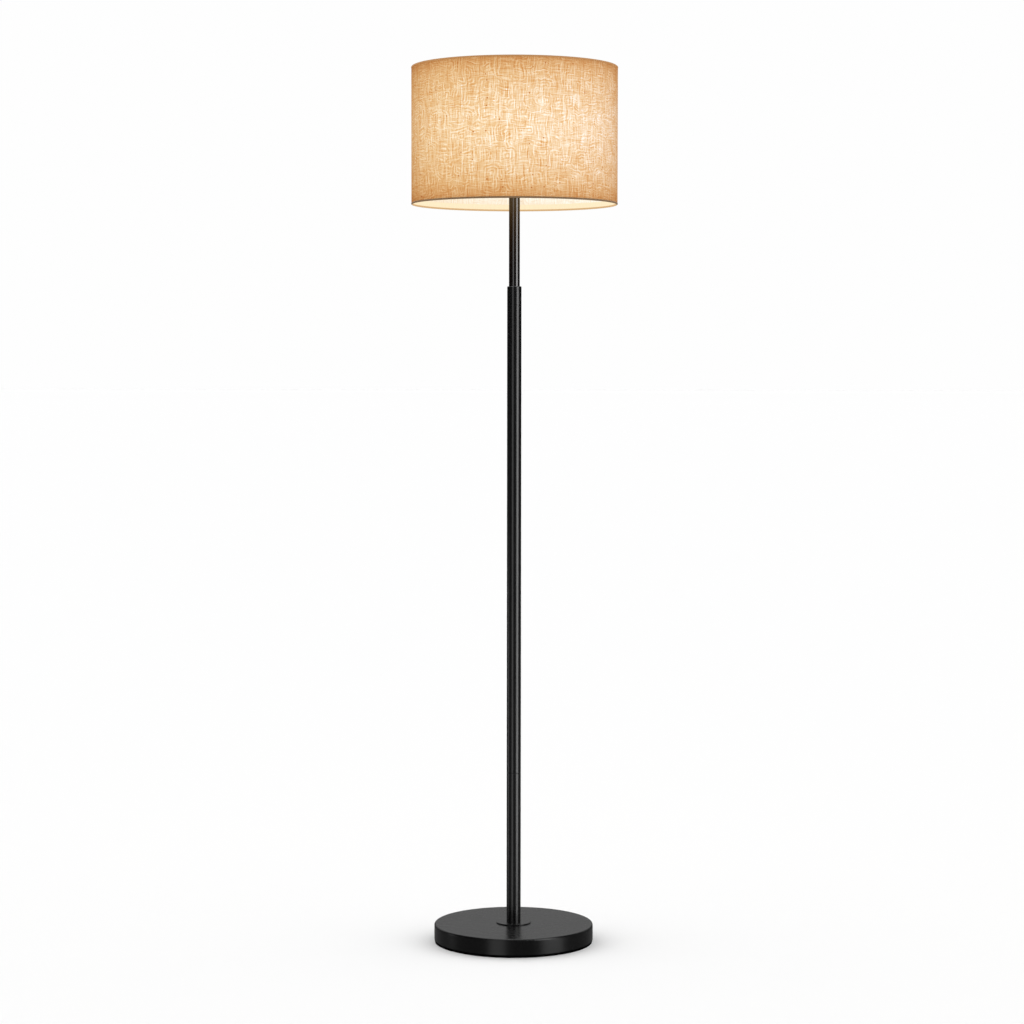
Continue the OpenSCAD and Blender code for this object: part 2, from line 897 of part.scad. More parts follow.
// Spokes welded to the fitter ring and to the lower wire
module spokes() {
    run = wire_ring_r - fitter_r;
    rise = fitter_z + fitter_t / 2 - shade_z - fold_r;
    start = wire_r + press_gap;
    color("white")
    difference() {
        for (i = [0:spokes_n - 1])
            turned(90 + i * 360 / spokes_n)
            translate([wire_ring_r, 0, shade_z + fold_r])
            rotate([0, atan(rise / run) - 90, 0])
            translate([0, 0, start])
                cylinder(r = spoke_r, h = norm([run, rise]) - start);
        translate([0, 0, fitter_z - 5]) cylinder(r = fitter_r + press_gap, h = 10);
    }
}

module lower_wire() {
    color("white") wire_ring(shade_z + fold_r);
}

module top_wire() {
    color("white") wire_ring(shade_top - fold_r);
}

// The edging in section: rolled round a wire, with one edge glued up inside the shade
module edging() {
    rotate_extrude() {
        translate([wire_ring_r, fold_r])
        difference() {
            circle(r = fold_r);
            circle(r = fold_r - edging_t);
        }
        translate([tuck_r - edging_t, 2 * fold_r - edging_t / 2])
            square([edging_t, turn_in - 2 * fold_r + edging_t / 2]);
    }
}

// The lower edging is slit where the spokes pass
module lower_edging() {
    slit = spoke_d + 0.8;
    depth = 8;
    color("#8a5a34")
    difference() {
        translate([0, 0, shade_z]) edging();
        for (i = [0:spokes_n - 1])
            turned(90 + i * 360 / spokes_n)
            translate([tuck_r + press_gap / 2 - depth, -slit / 2, shade_z - cut])
                cube([depth, slit, turn_in + 2 * cut]);
    }
}

module top_edging() {
    color("#8a5a34") translate([0, 0, shade_top]) mirror([0, 0, 1]) edging();
}

module linen_cover() {
    lap_angle = lap_w / shade_r * 180 / PI;
    wall_h = shade_h - 2 * wall_inset;
    color("#e0b47c")
    translate([0, 0, shade_z + wall_inset]) {
        tube(linen_r, linen_r - linen_t, wall_h);
        turned(90 - lap_angle / 2)
        rotate_extrude(angle = lap_angle)
            translate([linen_r - linen_t / 2, 0])
            square([linen_t / 2 + edging_t, wall_h]);
    }
}

module shade_liner() {
    color("white")
    translate([0, 0, shade_z + wall_inset])
        tube(liner_r, liner_r - liner_t, shade_h - 2 * wall_inset);
}

floor_pad();
bottom_plate();
plate_screws();
base_weight();
base_cover();
foot_flange();
base_washer();
spring_washer();
base_nut();
base_nipple();
cord_gland();
base_lead();
pole_foot();
lower_pole();
pole_socket();
pole_stud();
middle_pole();
pole_collar();
clamp_sleeve();
guide_bush();
lock_screw();
lock_pad();
coiled_lead();
friction_ring();
inner_glide();
glide_rivets();
inner_pole();
head_plug();
upper_lead();
lead_cores();
holder_nipple();
holder_cap();
holder_body();
holder_core();
screw_shell();
centre_contact();
terminal_blocks();
terminal_screws();
lower_clamp_ring();
upper_clamp_ring();
fitter_ring();
spokes();
lower_wire();
top_wire();
lower_edging();
top_edging();
linen_cover();
shade_liner();
bulb_contact();
bulb_cap();
bulb_body();
driver_board();
led_board();
led_chips();
bulb_dome();
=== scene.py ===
import json
import math

import bmesh
import bpy
from mathutils import Euler, Matrix, Vector


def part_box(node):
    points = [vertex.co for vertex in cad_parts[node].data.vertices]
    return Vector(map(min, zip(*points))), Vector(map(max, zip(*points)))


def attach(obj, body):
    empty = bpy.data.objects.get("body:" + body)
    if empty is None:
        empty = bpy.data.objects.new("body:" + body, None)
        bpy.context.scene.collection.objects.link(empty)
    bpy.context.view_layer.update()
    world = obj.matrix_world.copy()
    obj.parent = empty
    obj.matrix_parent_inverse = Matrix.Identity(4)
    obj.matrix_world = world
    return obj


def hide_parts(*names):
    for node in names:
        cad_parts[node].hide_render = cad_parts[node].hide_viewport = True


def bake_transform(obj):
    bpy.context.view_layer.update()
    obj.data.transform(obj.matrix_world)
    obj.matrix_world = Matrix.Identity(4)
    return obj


# Telescopic floor lamp with a lit linen drum shade. Metres, +Z up, -Y is the front.
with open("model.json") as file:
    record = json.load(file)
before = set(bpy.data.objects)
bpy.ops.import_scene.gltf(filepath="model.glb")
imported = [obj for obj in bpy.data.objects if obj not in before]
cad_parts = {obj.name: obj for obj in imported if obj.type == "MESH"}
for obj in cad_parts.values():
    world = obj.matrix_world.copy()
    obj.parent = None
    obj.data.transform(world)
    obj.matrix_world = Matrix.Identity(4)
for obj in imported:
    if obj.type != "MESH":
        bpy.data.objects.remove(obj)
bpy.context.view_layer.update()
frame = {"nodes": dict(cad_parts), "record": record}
nodes = frame["nodes"]
print("frame loaded:", len(nodes), "nodes")


def heightsOf(name):
    # lowest and highest point of a node, to a hundredth of a millimetre
    low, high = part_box(name)
    return round(low.z, 5), round(high.z, 5)


def reachOf(name):
    # how far a round node reaches from the lamp's axis
    return round(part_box(name)[1].x, 5)


lowerRim = heightsOf("lower_edging")[0]
topRim = heightsOf("top_edging")[1]


cameraLook = {
    "place": (-0.00364, -4.579, 0.996),
    "tiltDown": 2.959,  # degrees
    "roll": 0.07,  # degrees, the photograph leans a hair to the right
    "lens": 91.88,
    "sensor": 36.0,
    "clipEnd": 500.0,
}


def placeCamera(look):
    data = bpy.data.cameras.new("photoCamera")
    data.lens = look["lens"]
    data.sensor_width = look["sensor"]
    data.clip_end = look["clipEnd"]
    camera = bpy.data.objects.new("photoCamera", data)
    bpy.context.scene.collection.objects.link(camera)
    level = Euler((math.radians(90.0 - look["tiltDown"]), 0.0, 0.0)).to_matrix()
    turn = level @ Matrix.Rotation(math.radians(look["roll"]), 3, "Z")
    camera.location = look["place"]
    camera.rotation_euler = turn.to_euler()
    bpy.context.scene.camera = camera


placeCamera(cameraLook)
bpy.context.scene.view_settings.view_transform = "Standard"
print("camera placed")


def feed(tree, socket, value):
    if isinstance(value, bpy.types.NodeSocket):
        tree.links.new(value, socket)
    else:
        socket.default_value = value


def calc(tree, operation, *values, clamp=False):
    node = tree.nodes.new("ShaderNodeMath")
    node.operation = operation
    node.use_clamp = clamp
    for socket, value in zip(node.inputs, values):
        feed(tree, socket, value)
    return node.outputs[0]


def remap(tree, value, fromLow, fromHigh, toLow, toHigh, smooth=False):
    node = tree.nodes.new("ShaderNodeMapRange")
    node.interpolation_type = "SMOOTHSTEP" if smooth else "LINEAR"
    for name, amount in (
        ("Value", value),
        ("From Min", fromLow),
        ("From Max", fromHigh),
        ("To Min", toLow),
        ("To Max", toHigh),
    ):
        feed(tree, node.inputs[name], amount)
    return node.outputs["Result"]


def blendColour(tree, factor, first, second, kind="MIX"):
    node = tree.nodes.new("ShaderNodeMix")
    node.data_type = "RGBA"
    node.blend_type = kind
    for index, value in ((0, factor), (6, first), (7, second)):
        feed(tree, node.inputs[index], paint(value))
    return node.outputs[2]


def paint(value):
    return (*value, 1.0) if isinstance(value, tuple) and len(value) == 3 else value


def colourRamp(tree, factor, stops):
    node = tree.nodes.new("ShaderNodeValToRGB")
    band = node.color_ramp.elements
    while len(band) < len(stops):
        band.new(0.5)
    for element, (position, colour) in zip(band, stops):
        element.position = position
        element.color = paint(colour)
    feed(tree, node.inputs[0], factor)
    return node.outputs["Color"]


def noise(tree, vector, scale, detail=2.0, roughness=0.5, distortion=0.0):
    node = tree.nodes.new("ShaderNodeTexNoise")
    for name, value in (
        ("Vector", vector),
        ("Scale", scale),
        ("Detail", detail),
        ("Roughness", roughness),
        ("Distortion", distortion),
    ):
        feed(tree, node.inputs[name], value)
    return node.outputs["Fac"]


def stretched(tree, vector, amounts):
    node = tree.nodes.new("ShaderNodeMapping")
    feed(tree, node.inputs["Vector"], vector)
    feed(tree, node.inputs["Scale"], amounts)
    return node.outputs["Vector"]


def splitAxes(tree, vector):
    node = tree.nodes.new("ShaderNodeSeparateXYZ")
    feed(tree, node.inputs[0], vector)
    return node.outputs


def joinAxes(tree, x, y, z):
    node = tree.nodes.new("ShaderNodeCombineXYZ")
    for socket, value in zip(node.inputs, (x, y, z)):
        feed(tree, socket, value)
    return node.outputs[0]


def objectPlace(tree):
    return tree.nodes.new("ShaderNodeTexCoord").outputs["Object"]


def outwardFrom(tree, axes):
    # distance from the lamp's axis
    across = calc(tree, "MULTIPLY", axes[0], axes[0])
    deep = calc(tree, "MULTIPLY", axes[1], axes[1])
    return calc(tree, "SQRT", calc(tree, "ADD", across, deep))


def angleFrom(tree, axes):
    # angle round the lamp's axis, 0 at the front
    return calc(tree, "ARCTAN2", axes[0], calc(tree, "MULTIPLY", axes[1], -1.0))


def bumpFrom(tree, height, strength, distance):
    node = tree.nodes.new("ShaderNodeBump")
    feed(tree, node.inputs["Strength"], strength)
    feed(tree, node.inputs["Distance"], distance)
    feed(tree, node.inputs["Height"], height)
    return node.outputs["Normal"]


def useGroup(tree, group, **values):
    node = tree.nodes.new("ShaderNodeGroup")
    node.node_tree = group
    for name, value in values.items():
        feed(tree, node.inputs[name], value)
    return node.outputs


def startGroup(name, inputs, outputs):
    group = bpy.data.node_groups.new(name, "ShaderNodeTree")
    for title, value in inputs.items():
        kind = "NodeSocketFloat" if isinstance(value, float) else "NodeSocketVector"
        socket = group.interface.new_socket(name=title, in_out="INPUT", socket_type=kind)
        socket.default_value = value
    for title in outputs:
        kind = "NodeSocketColor" if title == "Colour" else "NodeSocketFloat"
        group.interface.new_socket(name=title, in_out="OUTPUT", socket_type=kind)
    given = group.nodes.new("NodeGroupInput").outputs
    made = group.nodes.new("NodeGroupOutput").inputs
    return group, given, made


def makeFineGrain():
    # even grain of a sprayed, moulded or cast surface
    group, given, made = startGroup(
        "fineGrain",
        {"Scale": 800.0, "Contrast": 1.0, "Low": 0.3, "High": 0.5},
        ("Mask", "Value"),
    )
    grain = noise(group, objectPlace(group), given["Scale"], detail=3.0, roughness=0.6)
    centred = calc(group, "MULTIPLY", calc(group, "SUBTRACT", grain, 0.5), given["Contrast"])
    mask = calc(group, "ADD", centred, 0.5, clamp=True)
    feed(group, made["Mask"], mask)
    feed(group, made["Value"], remap(group, mask, 0.0, 1.0, given["Low"], given["High"]))
    return group


def makeLatheLines():
    # rings that turning or rolling leaves round the lamp's axis
    group, given, made = startGroup(
        "latheLines",
        {"Scale": 900.0, "Low": 0.25, "High": 0.4},
        ("Mask", "Value"),
    )
    axes = splitAxes(group, objectPlace(group))
    drift = calc(group, "MULTIPLY", axes[0], 0.02)  # no ring is quite even
    place = joinAxes(group, outwardFrom(group, axes), drift, axes[2])
    lines = noise(group, place, given["Scale"], detail=3.0, roughness=0.7)
    mask = remap(group, lines, 0.3, 0.7, 0.0, 1.0)
    feed(group, made["Mask"], mask)
    feed(group, made["Value"], remap(group, mask, 0.0, 1.0, given["Low"], given["High"]))
    return group


def makeHandMarks():
    # broad, soft patches where a surface was touched or wiped
    group, given, made = startGroup("handMarks", {"Scale": 22.0, "Amount": 0.1}, ("Value",))
    place = stretched(group, objectPlace(group), (1.0, 1.0, 0.35))
    patches = noise(group, place, given["Scale"], detail=3.0, roughness=0.55, distortion=0.4)
    touched = remap(group, patches, 0.48, 0.68, 0.0, 1.0, smooth=True)
    feed(group, made["Value"], calc(group, "MULTIPLY", touched, given["Amount"]))
    return group


def makeSettledDust():
    # a thin film on whatever faces up
    group, given, made = startGroup("settledDust", {"Amount": 0.1, "Scale": 60.0}, ("Mask",))
    up = splitAxes(group, group.nodes.new("ShaderNodeNewGeometry").outputs["Normal"])[2]
    facing = remap(group, up, 0.6, 0.98, 0.0, 1.0, smooth=True)
    specks = noise(group, objectPlace(group), given["Scale"], detail=5.0, roughness=0.75)
    film = remap(group, specks, 0.35, 0.75, 0.2, 1.0)
    settled = calc(group, "MULTIPLY", facing, film)
    feed(group, made["Mask"], calc(group, "MULTIPLY", settled, given["Amount"]))
    return group


def makeLampGlow():
    # painted light: how strongly the bulb lights the shade, by height, weaker at the doubled rims
    # and brighter to the right, where the room's light falls; it is fed into emission
    group, given, made = startGroup(
        "lampGlow",
        {"Height": 1.417, "Spread": 0.18, "Low": lowerRim, "High": topRim, "Fade": 0.032,
         "Rim": 0.7, "Lean": 0.58},  # Lean is painted light: how much brighter the right is, per metre, where the room's light falls
        ("Level",),
    )
    axes = splitAxes(group, objectPlace(group))
    away = calc(group, "DIVIDE", calc(group, "SUBTRACT", axes[2], given["Height"]), given["Spread"])
    around = calc(group, "ADD", calc(group, "MULTIPLY", away, away), 1.0)
    level = calc(group, "POWER", around, -1.5)  # as a small lamp lights an upright wall
    fromLow = calc(group, "SUBTRACT", axes[2], given["Low"])
    fromHigh = calc(group, "SUBTRACT", given["High"], axes[2])
    edge = calc(group, "MINIMUM", fromLow, fromHigh)
    clear = remap(group, edge, 0.0, given["Fade"], given["Rim"], 1.0, smooth=True)
    # painted light: the right side made brighter, as the room's light falls from there
    paintedRightLight = calc(group, "ADD", calc(group, "MULTIPLY", axes[0], given["Lean"]), 1.0)
    level = calc(group, "MULTIPLY", level, clear)
    feed(group, made["Level"], calc(group, "MULTIPLY", level, paintedRightLight))
    return group


def makeWarmLight():
    # dim light comes through the cloth warmer than bright light
    group, given, made = startGroup(
        "warmLight",
        {"Level": 1.0, "Red": 1.0, "Green": 1.0, "Blue": 1.0, "RedPower": 0.45, "BluePower": 1.75},
        ("Colour",),
    )
    red = calc(group, "POWER", given["Level"], given["RedPower"])
    red = calc(group, "MULTIPLY", red, given["Red"])
    green = calc(group, "MULTIPLY", given["Level"], given["Green"])
    blue = calc(group, "POWER", given["Level"], given["BluePower"])
    blue = calc(group, "MULTIPLY", blue, given["Blue"])
    feed(group, made["Colour"], joinAxes(group, red, green, blue))
    return group


weaveLook = {
    "width": 0.0015,  # of a strand
    "length": 0.03,  # over which a strand shows
    "yarn": 0.0011,
    "sway": (26.0, 0.01),  # how often and how far the strands stray sideways
    "lean": (17.0, 0.02),  # and upward
    "squares": 36.0,  # in a metre, that crossing strands bend round
    "squareness": 5.0,
    "ripples": 37.0,
    "bentWhere": (60.0, 0.46, 0.56),
    "bent": (0.45, 0.95, 0.95),  # from, to and share of the straight ones' strength
    "hollow": (-0.3, -0.95, 0.5),
    "strand": (0.56, 0.66),
    "gapUp": (0.54, 0.68),
    "gapAlong": (0.56, 0.7),
    "patch": (34.0, 0.42, 0.68),
    "speck": (40.0, 0.028, 0.062, 0.74),  # scale, size inside and outside, share left out
    "fleck": (52.0, 0.03, 0.075, 0.72),
    "finer": 1.9,
    "amounts": {"bright": 0.38, "gap": -0.38, "patch": -0.09, "speck": -0.75, "fleck": 0.6},
    "least": 0.08,
    "yarnHeight": 0.35,
}


def makeStrandWeave(look):
    # loose plain weave of uneven yarn. Through is the share of light let by, 1 on average
    group, given, made = startGroup(
        "strandWeave",
        {"Cloth": (0.0, 0.0, 0.0), "Width": look["width"], "Length": look["length"],
         "Yarn": look["yarn"], "Strength": 1.0},
        ("Through", "Bright", "Gap", "Speck", "Height"),
    )
    cloth = given["Cloth"]
    often, far = look["sway"]
    sway = calc(group, "SUBTRACT", noise(group, cloth, often), 0.5)
    sway = calc(group, "MULTIPLY", sway, far)
    often, far = look["lean"]
    lean = calc(group, "SUBTRACT", noise(group, cloth, often, distortion=1.2), 0.5)
    lean = calc(group, "MULTIPLY", lean, far)
    axes = splitAxes(group, cloth)
    along = calc(group, "ADD", axes[0], sway)
    upward = calc(group, "ADD", axes[1], lean)
    narrow = calc(group, "DIVIDE", 1.0, given["Width"])
    lengthy = calc(group, "DIVIDE", 1.0, given["Length"])

    def strands(first, second, layer):
        # layer only sets where the noise is cut, so that no two are alike
        sideways = calc(group, "MULTIPLY", along, first)
        place = joinAxes(group, sideways, calc(group, "MULTIPLY", upward, second), layer)
        return noise(group, place, 1.0, detail=1.5, roughness=0.55, distortion=0.15)

    def lines(value, low, high):
        return remap(group, value, low, high, 0.0, 1.0, smooth=True)

    def knots(scale, low, high, share):
        seeds = group.nodes.new("ShaderNodeTexVoronoi")
        seeds.voronoi_dimensions = "2D"
        feed(group, seeds.inputs["Vector"], cloth)
        feed(group, seeds.inputs["Scale"], scale)
        near = remap(group, seeds.outputs["Distance"], low, high, 1.0, 0.0, smooth=True)
        chosen = calc(group, "GREATER_THAN", splitAxes(group, seeds.outputs["Color"])[0], share)
        return calc(group, "MULTIPLY", near, chosen)

    # crossing strands bend into each other round small squares of cloth
    squares = group.nodes.new("ShaderNodeTexVoronoi")
    squares.voronoi_dimensions = "2D"
    squares.distance = "MINKOWSKI"
    feed(group, squares.inputs["Exponent"], look["squareness"])
    feed(group, squares.inputs["Vector"], joinAxes(group, along, upward, 0.0))
    feed(group, squares.inputs["Scale"], look["squares"])
    ripple = calc(group, "MULTIPLY", squares.outputs["Distance"], look["ripples"])
    ripple = calc(group, "SINE", ripple)
    often, low, high = look["bentWhere"]
    where = lines(noise(group, cloth, often, detail=1.0), low, high)
    low, high, share = look["bent"]
    bent = calc(group, "MULTIPLY", lines(ripple, low, high), where)
    bent = calc(group, "MULTIPLY", bent, share)
    low, high, share = look["hollow"]
    hollow = calc(group, "MULTIPLY", lines(ripple, low, high), where)
    hollow = calc(group, "MULTIPLY", hollow, share)
    warp = lines(strands(narrow, lengthy, 3.7), *look["strand"])
    weft = lines(strands(lengthy, narrow, 9.1), *look["strand"])
    bright = calc(group, "MAXIMUM", calc(group, "MAXIMUM", warp, weft), bent)
    gapUp = lines(strands(narrow, lengthy, 15.3), *look["gapUp"])
    gapAlong = lines(strands(lengthy, narrow, 21.9), *look["gapAlong"])
    gap = calc(group, "MAXIMUM", calc(group, "MAXIMUM", gapUp, gapAlong), hollow)
    often, low, high = look["patch"]
    patch = lines(noise(group, cloth, often, detail=3.0, roughness=0.6), low, high)
    speck = knots(*look["speck"])
    fleck = knots(*look["fleck"])
    finer = calc(group, "MULTIPLY", narrow, look["finer"])
    fine = calc(group, "ADD", strands(finer, lengthy, 31.4), strands(lengthy, finer, 40.2))
    through = calc(group, "SUBTRACT", fine, 1.0)
    layers = {"bright": bright, "gap": gap, "patch": patch, "speck": speck, "fleck": fleck}
    for name, layer in layers.items():
        added = calc(group, "MULTIPLY", layer, look["amounts"][name])
        through = calc(group, "ADD", through, added)
    through = calc(group, "ADD", calc(group, "MULTIPLY", through, given["Strength"]), 1.0)
    feed(group, made["Through"], calc(group, "MAXIMUM", through, look["least"]))
    feed(group, made["Bright"], bright)
    feed(group, made["Gap"], gap)
    feed(group, made["Speck"], speck)
    turn = calc(group, "DIVIDE", 2.0 * math.pi, given["Yarn"])
    ribs = calc(group, "SINE", calc(group, "MULTIPLY", along, turn))
    rows = calc(group, "SINE", calc(group, "MULTIPLY", upward, turn))
    yarn = calc(group, "MULTIPLY", calc(group, "MULTIPLY", ribs, rows), look["yarnHeight"])
    feed(group, made["Height"], calc(group, "ADD", yarn, bright))
    return group


fineGrain = makeFineGrain()
latheLines = makeLatheLines()
handMarks = makeHandMarks()
settledDust = makeSettledDust()
lampGlow = makeLampGlow()
warmLight = makeWarmLight()
strandWeave = makeStrandWeave(weaveLook)
print("shared effects built")


def startMaterial(name):
    material = bpy.data.materials.new(name)
    material.use_nodes = True
    return material, material.node_tree, material.node_tree.nodes["Principled BSDF"].inputs


def tintRim(shader, tint):
    # a rough coat that tints what is under it more, the flatter the surface is seen
    shader["Coat Weight"].default_value = 1.0
    shader["Coat Roughness"].default_value = 1.0
    shader["Coat IOR"].default_value = 1.05
    shader["Coat Tint"].default_value = paint(tint)


def makeCoated(name, look):
    # sprayed or enamelled steel: thin even coat with a faint grain, marks and dust
    material, tree, shader = startMaterial(name)
    grain = useGroup(tree, fineGrain, Scale=look["grain"], Contrast=look["contrast"],
                     Low=look["rough"][0], High=look["rough"][1])
    marks = useGroup(tree, handMarks, Scale=look["markScale"], Amount=look["marks"])
    dust = useGroup(tree, settledDust, Amount=look["dust"])
    coat = blendColour(tree, grain["Mask"], look["dark"], look["light"])
    feed(tree, shader["Base Color"], blendColour(tree, dust["Mask"], coat, look["dustColour"]))
    rough = calc(tree, "ADD", grain["Value"], marks["Value"])
    feed(tree, shader["Roughness"], calc(tree, "ADD", rough, dust["Mask"], clamp=True))
    feed(tree, shader["Normal"], bumpFrom(tree, grain["Mask"], look["bump"], look["depth"]))
    shader["Specular IOR Level"].default_value = look["shine"]
    if "spill" in look:  # painted light: an emission on the pole for the shade's warm light running down it
        up = splitAxes(tree, objectPlace(tree))[2]
        below = calc(tree, "MINIMUM", calc(tree, "SUBTRACT", up, look["spillFrom"]), 0.0)
        fall = calc(tree, "EXPONENT", calc(tree, "DIVIDE", below, look["spillReach"]))
        red, green, blue = look["spill"]
        spill = useGroup(tree, warmLight, Level=fall, Red=red, Green=green, Blue=blue,
                         RedPower=look["spillPowers"][0], BluePower=look["spillPowers"][1])
        feed(tree, shader["Emission Color"], spill["Colour"])
        shader["Emission Strength"].default_value = 1.0
    return material


def makeTurned(name, look):
    # bare or plated metal with fine rings from turning
    material, tree, shader = startMaterial(name)
    lines = useGroup(tree, latheLines, Scale=look["lines"],
                     Low=look["rough"][0], High=look["rough"][1])
    stain = useGroup(tree, fineGrain, Scale=look["stain"], Contrast=look["contrast"])
    feed(tree, shader["Base Color"], blendColour(tree, stain["Mask"], look["dark"], look["light"]))
    marks = useGroup(tree, handMarks, Scale=look["markScale"], Amount=look["marks"])
    feed(tree, shader["Roughness"], calc(tree, "ADD", lines["Value"], marks["Value"], clamp=True))
    feed(tree, shader["Normal"], bumpFrom(tree, lines["Mask"], look["bump"], look["depth"]))
    shader["Metallic"].default_value = 1.0
    return material


def makeMoulded(name, look):
    # plastic, rubber, foam or fired clay
    material, tree, shader = startMaterial(name)
    grain = useGroup(tree, fineGrain, Scale=look["grain"], Contrast=look["contrast"],
                     Low=look["rough"][0], High=look["rough"][1])
    marks = useGroup(tree, handMarks, Scale=look["markScale"], Amount=look["marks"])
    dust = useGroup(tree, settledDust, Amount=look["dust"])
    body = blendColour(tree, grain["Mask"], look["dark"], look["light"])
    feed(tree, shader["Base Color"], blendColour(tree, dust["Mask"], body, look["dustColour"]))
    feed(tree, shader["Roughness"], calc(tree, "ADD", grain["Value"], marks["Value"], clamp=True))
    feed(tree, shader["Normal"], bumpFrom(tree, grain["Mask"], look["bump"], look["depth"]))
    shader["Specular IOR Level"].default_value = look["shine"]
    return material


def makeConcrete(name, look):
    material, tree, shader = startMaterial(name)
    grit = useGroup(tree, fineGrain, Scale=look["grit"], Contrast=look["gritContrast"],
                    Low=look["rough"][0], High=look["rough"][1])
    cloud = useGroup(tree, fineGrain, Scale=look["cloud"], Contrast=look["cloudContrast"])
    pores = tree.nodes.new("ShaderNodeTexVoronoi")
    feed(tree, pores.inputs["Vector"], objectPlace(tree))
    feed(tree, pores.inputs["Scale"], look["pores"])
    poreShadeMask = remap(tree, pores.outputs["Distance"], *look["poreEdge"], 0.0, 1.0, smooth=True)
    mass = blendColour(tree, cloud["Mask"], look["dark"], look["light"])
    sandy = calc(tree, "MULTIPLY", grit["Mask"], look["sandShare"])
    gritty = blendColour(tree, sandy, mass, look["sand"])
    # the pores are dented by the bump and drawn in the dark tone: painted shade in the pits
    feed(tree, shader["Base Color"], blendColour(tree, poreShadeMask, look["dark"], gritty))
    feed(tree, shader["Roughness"], grit["Value"])
    height = calc(tree, "ADD", poreShadeMask, grit["Mask"])
    feed(tree, shader["Normal"], bumpFrom(tree, height, look["bump"], look["depth"]))
    return material


blackCover = {"dark": (0.002, 0.002, 0.0021), "light": (0.004, 0.004, 0.0041), "grain": 1100.0,
              "contrast": 1.6, "rough": (0.22, 0.28), "marks": 0.03, "markScale": 14.0,
              "dust": 0.02, "dustColour": (0.2, 0.19, 0.175), "bump": 0.05, "depth": 0.0001,
              "shine": 0.3}
blackTube = dict(blackCover, dark=(0.003, 0.003, 0.0031), light=(0.0055, 0.0055, 0.0056),
                 rough=(0.19, 0.26), markScale=24.0, shine=0.56)
# the slide's spill is painted light: an emission on the pole for the shade's warm light
blackSlide = dict(blackTube, dark=(0.0015, 0.0015, 0.0016), light=(0.003, 0.003, 0.0031),
                  rough=(0.15, 0.19), bump=0.02, shine=0.98, spill=(0.055, 0.032, 0.012),
                  spillPowers=(0.8, 1.4), spillFrom=lowerRim, spillReach=0.03)
whiteEnamel = dict(blackCover, dark=(0.78, 0.77, 0.74), light=(0.86, 0.85, 0.82), grain=700.0,
                   rough=(0.25, 0.36), marks=0.06, markScale=30.0, dust=0.1,
                   dustColour=(0.5, 0.47, 0.42), bump=0.1, shine=0.5)
zincPlate = {"dark": (0.52, 0.53, 0.56), "light": (0.7, 0.71, 0.73), "lines": 1400.0,
             "rough": (0.28, 0.42), "stain": 180.0, "contrast": 2.0, "marks": 0.15,
             "markScale": 60.0, "bump": 0.25, "depth": 0.00005}
closingPlate = dict(zincPlate, dark=(0.34, 0.35, 0.37), light=(0.47, 0.48, 0.5), lines=700.0,
                    rough=(0.36, 0.5))
oiledSteel = dict(zincPlate, dark=(0.035, 0.035, 0.04), light=(0.07, 0.07, 0.075), lines=2500.0,
                  rough=(0.3, 0.42), stain=900.0)
turnedBrass = dict(zincPlate, dark=(0.72, 0.5, 0.2), light=(0.85, 0.63, 0.3), lines=1800.0,
                   rough=(0.2, 0.32), stain=260.0)
nickelSkin = dict(zincPlate, dark=(0.6, 0.57, 0.52), light=(0.74, 0.71, 0.66), lines=2200.0,
                  rough=(0.18, 0.3), stain=300.0)
solderDot = dict(zincPlate, dark=(0.5, 0.5, 0.5), light=(0.68, 0.68, 0.67), lines=3000.0,
                 rough=(0.3, 0.45), stain=900.0)
boardMetal = dict(zincPlate, dark=(0.7, 0.7, 0.7), light=(0.82, 0.82, 0.81), lines=1200.0,
                  rough=(0.3, 0.4), stain=400.0)
softFoam = {"dark": (0.0006, 0.0006, 0.0006), "light": (0.003, 0.003, 0.003), "grain": 1500.0,
            "contrast": 2.2, "rough": (0.85, 0.98), "bump": 0.7, "depth": 0.0004,
            "shine": 0.0, "marks": 0.08, "markScale": 40.0, "dust": 0.0,
            "dustColour": (0.42, 0.4, 0.37)}
slideNylon = dict(softFoam, dark=(0.66, 0.64, 0.58), light=(0.76, 0.74, 0.69), grain=420.0,
                  contrast=1.2, rough=(0.32, 0.45), bump=0.12, depth=0.0002, shine=0.5)
moistRubber = dict(slideNylon, dark=(0.009, 0.009, 0.009), light=(0.018, 0.018, 0.018),
                   grain=900.0, rough=(0.5, 0.65), dust=0.05)
leadSkin = dict(moistRubber, dark=(0.012, 0.012, 0.012), light=(0.021, 0.021, 0.021),
                grain=650.0, rough=(0.36, 0.5), dust=0.0)
coreSkin = dict(slideNylon, dark=(0.2, 0.045, 0.02), light=(0.27, 0.065, 0.03), grain=800.0)
holderPlastic = dict(moistRubber, dark=(0.011, 0.011, 0.011), light=(0.019, 0.019, 0.019),
                     grain=1300.0, rough=(0.28, 0.4), dust=0.08)
firedClay = dict(slideNylon, dark=(0.72, 0.7, 0.65), light=(0.82, 0.8, 0.76), grain=520.0,
                 contrast=1.8, rough=(0.4, 0.6), bump=0.3)
bulbPlastic = dict(slideNylon, dark=(0.78, 0.78, 0.76), light=(0.84, 0.84, 0.82), grain=900.0,
                   rough=(0.28, 0.38), bump=0.06, dust=0.04)
circuitBoard = dict(slideNylon, dark=(0.03, 0.12, 0.05), light=(0.05, 0.19, 0.08), grain=260.0,
                    contrast=2.0, rough=(0.3, 0.42))
rawConcrete = {"dark": (0.2, 0.195, 0.185), "light": (0.34, 0.33, 0.31),
               "sand": (0.47, 0.44, 0.39), "sandShare": 0.4, "grit": 900.0, "gritContrast": 2.4,
               "cloud": 34.0, "cloudContrast": 1.5, "rough": (0.75, 0.95), "pores": 150.0,
               "poreEdge": (0.08, 0.2), "bump": 0.6, "depth": 0.0006}


